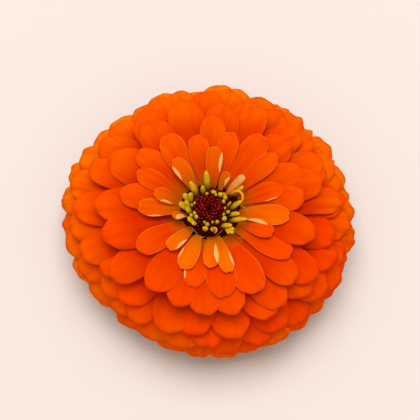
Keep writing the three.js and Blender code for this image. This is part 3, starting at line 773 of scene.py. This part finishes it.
# azimuth of the root and of the tip, radius of the root and of the tip, tip height, width,
# place where it is widest, thickness against width, notch in mm, and hue at the tip
# (0 lime, 0.5 orange, 1 cream)
FLORETS = np.array((
    (25, 25, 5.2, 5, 37.2, 1.3, 0.8, 0.9, 0, 0.1),
    (34, 34, 6.1, 6.1, 37.6, 1.6, 0.8, 0.9, 0, 0.1),
    (40, 46, 7.4, 6.3, 37.7, 1.4, 0.6, 0.6, 0, 0.35),
    (50, 52, 5.9, 5.7, 37.4, 1.7, 0.8, 0.9, 0, 0.1),
    (66, 65, 5.2, 4.9, 37, 1.1, 0.8, 0.9, 0, 0.05),
    (77, 76, 5.8, 5.5, 37.3, 1.9, 0.8, 0.7, 0, 0.1),
    (100, 100, 5.2, 4.9, 37, 1.1, 0.8, 0.9, 0, 0.05),
    (172, 171, 5.9, 5.7, 37.2, 1.1, 0.7, 0.9, 0, 0.1),
    (162, 162, 5.3, 5, 37, 1.0, 0.8, 0.9, 0, 0.1),
    (203, 203, 5.5, 5.2, 37.3, 1.3, 0.8, 0.9, 0, 0.1),
    (218, 218, 5.6, 5.4, 37.3, 1.5, 0.8, 0.9, 0, 0.1),
    (206, 206, 6.8, 6.5, 37.4, 1.3, 0.8, 0.9, 0, 0.1),
    (253, 253, 5.6, 5.4, 37, 1.0, 0.8, 0.9, 0, 0.1),
    (263, 263, 6.2, 6.0, 37.2, 1.4, 0.8, 0.9, 0, 0.1),
    (281, 281, 5.3, 5.1, 36.4, 1.0, 0.8, 0.9, 0, 0.3),
    (296, 296, 5.8, 5.6, 37, 1.3, 0.8, 0.9, 0, 0.25),
    (320, 320, 6.4, 6.2, 37.4, 1.7, 0.8, 0.9, 0, 0.15),
    (332, 332, 5.4, 5.1, 36.7, 1.1, 0.8, 0.9, 0, 0.2),
    (358, 358, 5.2, 4.9, 36.6, 0.9, 0.8, 0.9, 0, 0.3),
    (3, 14, 5.3, 7.2, 37.4, 0.8, 0.7, 0.6, 0, 0.05),
    (346, 343, 5.6, 6.6, 37.8, 1.3, 0.7, 0.8, 0, 0.1),
    (112, 107, 5.3, 7.5, 38.6, 1.5, 0.7, 0.6, 0.2, 0.1),
    (96, 95, 6.0, 12.3, 40.0, 2.0, 0.55, 0.5, 0.5, 0.45),
    (133, 126, 5.7, 10.6, 39.4, 2.0, 0.6, 0.6, 0.6, 0.5),
    (166, 153, 6.0, 9.4, 38.8, 1.9, 0.8, 0.5, 0.3, 0.15),
    (164, 143, 6.0, 7.8, 38.8, 1.8, 0.8, 0.5, 0.3, 0.12),
    (188, 166, 6.0, 8.1, 38.7, 1.8, 0.8, 0.5, 0.3, 0.2),
    (190, 174, 6.0, 9.9, 38.9, 2.1, 0.8, 0.5, 0.3, 0.18),
    (196, 186, 6.0, 7.6, 38.6, 2.0, 0.8, 0.6, 0.3, 0.1),
    (226, 212, 6.6, 8.4, 38.2, 2.4, 0.75, 0.5, 0.5, 0.3),
    (230, 226, 6.6, 8.3, 38.0, 2.0, 0.8, 0.6, 0.3, 0.2),
    (300, 317, 7.0, 9.9, 38.1, 1.8, 0.55, 0.7, 0.3, 0.55),
    (309, 308, 8.4, 12.3, 38.6, 1.4, 0.85, 0.8, 0.3, 0.35),
    (306, 303, 8.4, 11.6, 38.4, 1.2, 0.85, 0.8, 0.3, 0.25),
    (324, 338.5, 7.4, 13.0, 39.2, 1.8, 0.55, 0.7, 0.3, 0.5),
    (340, 344, 6.6, 10.1, 38.7, 1.7, 0.55, 0.7, 0.3, 0.55),
    (357, 9, 6.4, 10.6, 38.9, 1.7, 0.5, 0.6, 0.2, 0.2),
    (312, 313, 8.4, 11.4, 38.2, 1.2, 0.85, 0.8, 0.3, 0.3),
    (262, 259, 7.0, 8.2, 38.0, 1.8, 0.85, 0.9, 0.9, 0.3),
    (280, 277, 7.0, 8.5, 38.0, 1.6, 0.85, 0.9, 0.9, 0.35),
    (42, 42, 7.2, 15.2, 40.4, 2.6, 0.88, 0.3, 0.6, 1.0),
    (34, 32, 7.6, 13.0, 38.8, 1.6, 0.75, 0.7, 0.2, 0.5),
))
root_azimuth, tip_azimuth = np.radians(FLORETS[:, 0]), np.radians(FLORETS[:, 1])
root_radius, tip_radius, tip_height, width, widest, depth, notch, hue = FLORETS[:, 2:].T


def ring_places(azimuth, radius, height):
    """Points at azimuths, radii and heights on the oval head."""
    height = np.broadcast_to(height, np.shape(azimuth))
    return np.stack([radius * np.cos(azimuth), radius * np.sin(azimuth), height], -1) * OVAL


FLORET_ROOT_HEIGHT = 31.0
# the lobes of a floret's mouth, and their depth against the radius
FLORET_LOBES = (5, 0.12)
# each path leaves the receptacle upright and bends over to its tip; the girth swells by a
# smooth step to the widest place and closes by a root from there
step = 1 - (1 - np.linspace(0, 1, 16)) ** 1.5
t = step[None, :, None]
root = ring_places(root_azimuth, root_radius, FLORET_ROOT_HEIGHT)[:, None, :]
bend = ring_places(root_azimuth, root_radius, tip_height - 1.8)[:, None, :]
tip = ring_places(tip_azimuth, tip_radius, tip_height)[:, None, :]
paths = (1 - t) ** 2 * root + 2 * (1 - t) * t * bend + t * t * tip
x = np.clip(step[None] / widest[:, None], 0, 1)
past = np.clip((step[None] - widest[:, None]) / (1 - widest[:, None]), 0, 1)
half = width[:, None] / 2 * (0.35 + 0.65 * x * x * (3 - 2 * x)) * np.sqrt(1.0004 - past ** 3)
sideways = np.stack([-np.sin(tip_azimuth), np.cos(tip_azimuth), 0.15 * np.sin(7 * tip_azimuth)], -1)
corners, faces, along = tubes(
    paths, half, half * depth[:, None], 15, sideways, notch=notch, lobes=FLORET_LOBES,
)
# buds blush at the tip alone, and the cream one is pale down to its claw, with less painted
# shade there
hue = np.repeat(hue, len(along) // len(FLORETS))
blush = hue * np.clip(0.25 + along ** 5, 0, 1)
cream = hue > 0.9
blush = np.where(cream, 1.0 - 0.6 * (1 - along), blush)
along = np.where(cream, 0.4 + 0.6 * along, along)

# floret_flesh: juicy living tissue, waxy lime with darker flecks, that ripens to orange and
# cream; painted shade darkens it to olive and near black towards the root, where it is deep
floret_flesh = new_material("floret_flesh")
up_floret, floret_blush, _ = read_marks(floret_flesh)
ripeness_and_light = add_node(floret_flesh, "ShaderNodeValToRGB", {0: floret_blush}, stops=(
    (0.0, "D0B200"), (0.25, "DEAE04"), (0.5, "FFA404"), (0.65, "F09034"), (1.0, "ECA664"),
))
# painted shade, darker towards the root of each floret where it is deep in the disc
shade = add_node(floret_flesh, "ShaderNodeValToRGB", {0: up_floret}, stops=(
    (0.0, "2A1C02"), (0.3, "8A7420"), (0.55, "FFFFFF"),
))
shaded = add_node(floret_flesh, "ShaderNodeMix", {
    0: 1.0, 6: ripeness_and_light.outputs[0], 7: shade.outputs[0],
}, data_type="RGBA", blend_type="MULTIPLY")
flesh_colour, flesh_relief = add_mottle(floret_flesh, shaded.outputs[2], "A87A00", 0.7, 0.45)
finish_material(floret_flesh, {
    "Base Color": flesh_colour, "Roughness": 0.42, "Specular IOR Level": 0.25,
    "Normal": flesh_relief,
})
make_piece(
    "floret_buds", corners, faces, floret_flesh, "young_florets",
    corner_marks(along, blush),
)

# curled straps, a long arc and a small hook: centre x and y, radius at the start and end,
# first and last turn in degrees, width, thickness and hue
CURLS = np.array((
    (8.8, 2.7, 2.3, 1.9, 150, -60, 0.75, 0.85, 0.45),
    (1.5, -8.1, 1.0, 0.7, 130, -90, 0.6, 0.6, 0.4),
))
CURL_HEIGHT = 38.2
CURL_RISE = 0.8
x, y, first, last, begin, finish, width, thick, hue = CURLS.T[:, :, None]
share = np.linspace(0, 1, 28)
turn = np.radians(begin + (finish - begin) * share)
radius = first + (last - first) * np.minimum(1.4 * share, 1)
height = CURL_HEIGHT + CURL_RISE * np.sin(math.pi * share) + 0 * turn
paths = np.stack([x + radius * np.cos(turn), y + radius * np.sin(turn), height], -1)
taper = np.sin(math.pi * np.clip(share, 0.03, 0.97)) ** 0.35 / 2
corners, faces, along = tubes(
    paths, thick * taper, width * taper, 10, np.array([[0.3, 0.2, 0.1]] * len(CURLS)),
)
make_piece(
    "curled_florets", corners, faces, floret_flesh, "young_florets",
    corner_marks(0.8 + 0.2 * along, hue.ravel()),
)

# ---------------------------------------------------------------------------
# Style threads
# Dry hair-fine threads, the withered styles of spent florets. They lie loose round the
# disc, caught between the buds and the claws of the rays.

THREAD_RADIUS = 0.055
# start, middle and end of each thread: x, y and height in mm
THREADS = np.array((
    ((-5.9, -6.6, 36.8), (-4.0, -8.6, 37.4), (-3.2, -10.0, 37.2)),
    ((-3.2, -10.0, 37.2), (-2.3, -10.5, 37.6), (-1.3, -9.6, 36.6)),
    ((2.2, -9.2, 36.4), (3.4, -8.6, 37.2), (4.4, -7.3, 36.8)),
    ((9.1, -10.2, 37.6), (10.2, -10.5, 38.0), (11.4, -10.4, 37.6)),
    ((10.1, 0.3, 38.2), (11.8, -1.0, 38.8), (12.5, -2.6, 38.4)),
    ((10.7, -0.5, 38.0), (11.4, -0.2, 38.4), (12.0, -0.5, 38.0)),
    ((-4.0, 8.4, 37.4), (-3.5, 8.2, 38.0), (-3.0, 7.6, 37.0)),
    ((7.8, -6.9, 37.0), (8.6, -7.3, 37.6), (8.7, -8.3, 37.0)),
))
t = np.linspace(0, 1, 9)[None, :, None]
paths = (1 - t) ** 2 * THREADS[:, :1] + 2 * (1 - t) * t * THREADS[:, 1:2] + t * t * THREADS[:, 2:]
thin = np.full(paths.shape[:2], THREAD_RADIUS)
corners, faces, along = tubes(paths, thin, thin, 6, np.array([[0.2, 0.3, 0.9]] * len(THREADS)))

# style_thread: dried plant fibre, pale like fine straw, browner at one end
style_thread = new_material("style_thread")
straw = add_node(style_thread, "ShaderNodeValToRGB", {0: read_marks(style_thread)[0]}, stops=(
    (0.0, "D2AE62"), (0.7, "C8A050"), (1.0, "8A5A24"),
)).outputs[0]
straw_colour, straw_relief = add_mottle(style_thread, straw, "A87A3C", 0.5, 0.5)
finish_material(style_thread, {
    "Base Color": straw_colour, "Roughness": 0.6, "Normal": straw_relief,
})
make_piece(
    "style_threads", corners, faces, style_thread, "young_florets",
    corner_marks(along),
)

# ---------------------------------------------------------------------------
# Studio
# A plain sheet of pale matt paper, one large soft box high behind the head, and even warm
# light from all round. The sizes are in metres and the power in watts.

FLOOR_HALF = 2.0
floor_mesh = bpy.data.meshes.new("floor")
floor_mesh.from_pydata([
    (-FLOOR_HALF, -FLOOR_HALF, 0), (FLOOR_HALF, -FLOOR_HALF, 0),
    (FLOOR_HALF, FLOOR_HALF, 0), (-FLOOR_HALF, FLOOR_HALF, 0),
], [], [(0, 1, 2, 3)])
# studio_paper: matt, warm and pale
studio_paper = new_material("studio_paper")
finish_material(studio_paper, {
    "Base Color": linear("F4EBEA"), "Roughness": 0.9, "Specular IOR Level": 0.0,
})
floor_mesh.materials.append(studio_paper)
floor = bpy.data.objects.new("floor", floor_mesh)
bpy.context.scene.collection.objects.link(floor)

AIR_STRENGTH = 0.49
world = bpy.data.worlds.new("studio_air")
world.use_nodes = True
air = world.node_tree.nodes["Background"]
air.inputs["Color"].default_value = linear("FFF4DC")
air.inputs["Strength"].default_value = AIR_STRENGTH
bpy.context.scene.world = world

KEY_AZIMUTH = math.radians(95)
KEY_ELEVATION = math.radians(72)
KEY_DISTANCE = 4.0
KEY_WIDTH = 3.0
KEY_DEPTH = 2.4
KEY_POWER = 112
key_data = bpy.data.lights.new("key_soft_box", "AREA")
key_data.shape = "RECTANGLE"
key_data.size = KEY_WIDTH
key_data.size_y = KEY_DEPTH
key_data.energy = KEY_POWER
key = bpy.data.objects.new("key_soft_box", key_data)
key_way = Vector((
    math.cos(KEY_ELEVATION) * math.cos(KEY_AZIMUTH),
    math.cos(KEY_ELEVATION) * math.sin(KEY_AZIMUTH),
    math.sin(KEY_ELEVATION),
))
key.location = key_way * KEY_DISTANCE
key.rotation_euler = key_way.to_track_quat("Z", "Y").to_euler()
bpy.context.scene.collection.objects.link(key)

CAMERA_ELEVATION = math.radians(77)
CAMERA_DISTANCE = 0.327
# what the camera looks at: mm from the head's axis and over the floor
LOOK_AT = np.array([0.15, 0.6, 30])
camera_data = bpy.data.cameras.new("camera")
camera_data.lens = 85
camera_data.sensor_width = 36
camera = bpy.data.objects.new("camera", camera_data)
target = Vector((head_axis + LOOK_AT) * MM)
back = Vector((0, -math.cos(CAMERA_ELEVATION), math.sin(CAMERA_ELEVATION)))
camera.location = target + back * CAMERA_DISTANCE
camera.rotation_euler = back.to_track_quat("Z", "Y").to_euler()
bpy.context.scene.collection.objects.link(camera)
bpy.context.scene.camera = camera
bpy.context.scene.view_settings.view_transform = "Standard"
